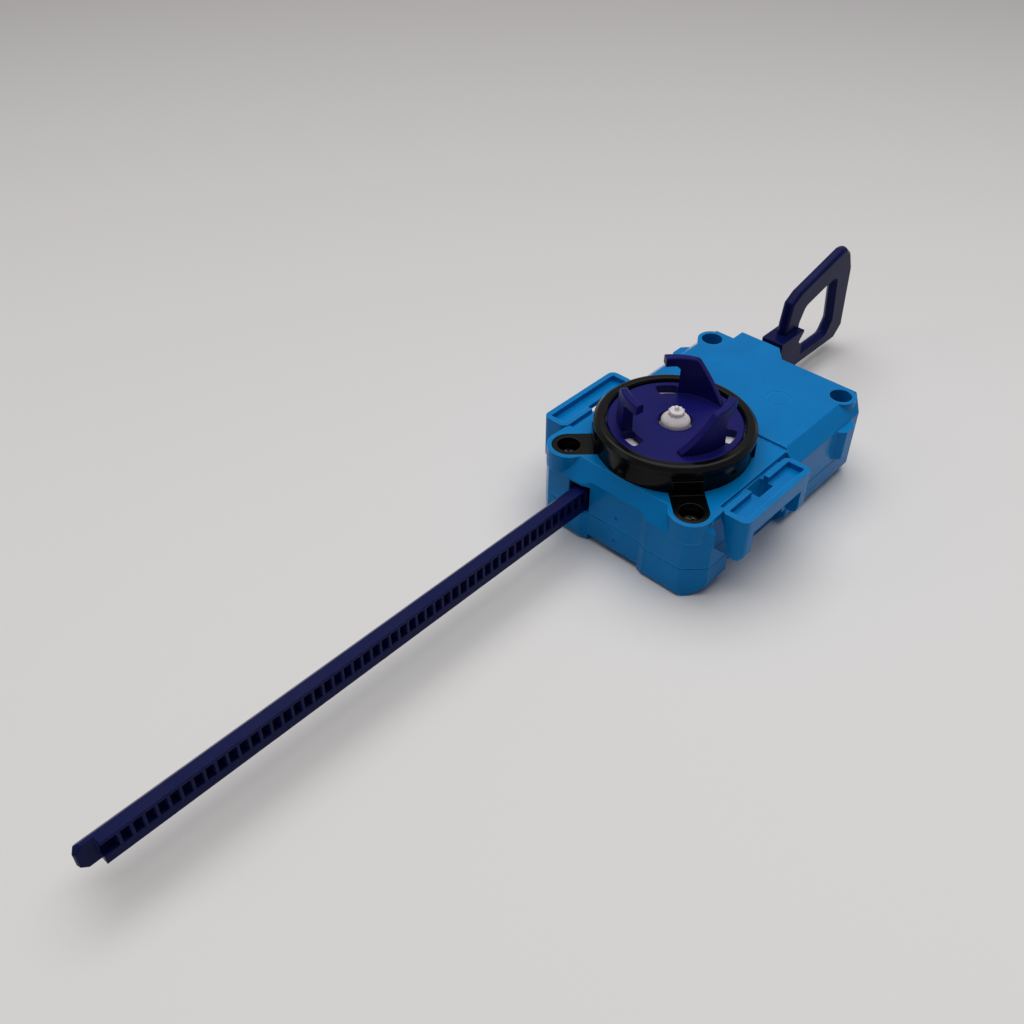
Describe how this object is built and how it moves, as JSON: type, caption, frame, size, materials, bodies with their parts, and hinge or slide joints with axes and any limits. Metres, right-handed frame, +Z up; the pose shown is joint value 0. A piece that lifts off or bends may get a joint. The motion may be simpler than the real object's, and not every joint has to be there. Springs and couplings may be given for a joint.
{
  "type": "spinning top launcher",
  "caption": "Rip-strip spinning top launcher: a hooked prong disc in a round collar on a boxy two-part housing, spun through inner gears by pulling a toothed strip with a finger loop.",
  "frame": {"origin": "on the prong disc's spin axis at the flat underside of the lower housing", "axes": "+X along the strip towards its finger loop (the pull direction), +Y to the left, +Z up along the spin axis"},
  "size_m": [0.2903, 0.0682, 0.0437],
  "materials": {
    "blue_plastic": "bright blue moulded plastic with a satin gloss",
    "navy_plastic": "dark navy moulded plastic with a soft gloss",
    "black_plastic": "glossy black plastic",
    "white_plastic": "milky white plastic",
    "black_steel": "blackened steel screws",
    "bright_steel": "plain bright steel"
  },
  "bodies": {
    "housing": {"upper_housing": "blue_plastic", "lower_housing": "blue_plastic", "retainer_ring": "black_plastic", "ring_screws": "black_steel", "rear_screws": "black_steel", "main_spindle": "bright_steel", "pinion_spindle": "bright_steel", "spindle_washer": "bright_steel", "pinion_washer": "bright_steel"},
    "spinner": {"prong_disc": "navy_plastic", "spin_gear": "white_plastic", "disc_screws": "bright_steel", "button_spring": "bright_steel"},
    "button": {"centre_button": "white_plastic"},
    "gear": {"drive_gear": "white_plastic"},
    "strip": {"winder": "navy_plastic"}
  },
  "joints": [
    {"name": "strip_pull", "type": "slide", "parent": "housing", "child": "strip", "axis": [1, 0, 0], "range_m": [-0.0097, 0.19]},
    {"name": "disc_spin", "type": "hinge", "parent": "housing", "child": "spinner", "pos_m": [0, 0, 0.0325], "axis": [0, 0, 1], "range_deg": [-145, 2812]},
    {"name": "gear_turn", "type": "hinge", "parent": "housing", "child": "gear", "pos_m": [0.02487, 0.00252, 0.006], "axis": [0, 0, 1], "range_deg": [-1324, 69]},
    {"name": "button_press", "type": "slide", "parent": "spinner", "child": "button", "axis": [0, 0, -1], "range_m": [0, 0.002], "stiffness_N_per_m": 250, "springref_m": -0.0015, "deforming": ["button_spring"]}
  ],
  "couplings": [
    {"joint": "disc_spin", "follows": "strip_pull", "rad_per_m": 258.09},
    {"joint": "gear_turn", "follows": "strip_pull", "rad_per_m": -121.46}
  ]
}
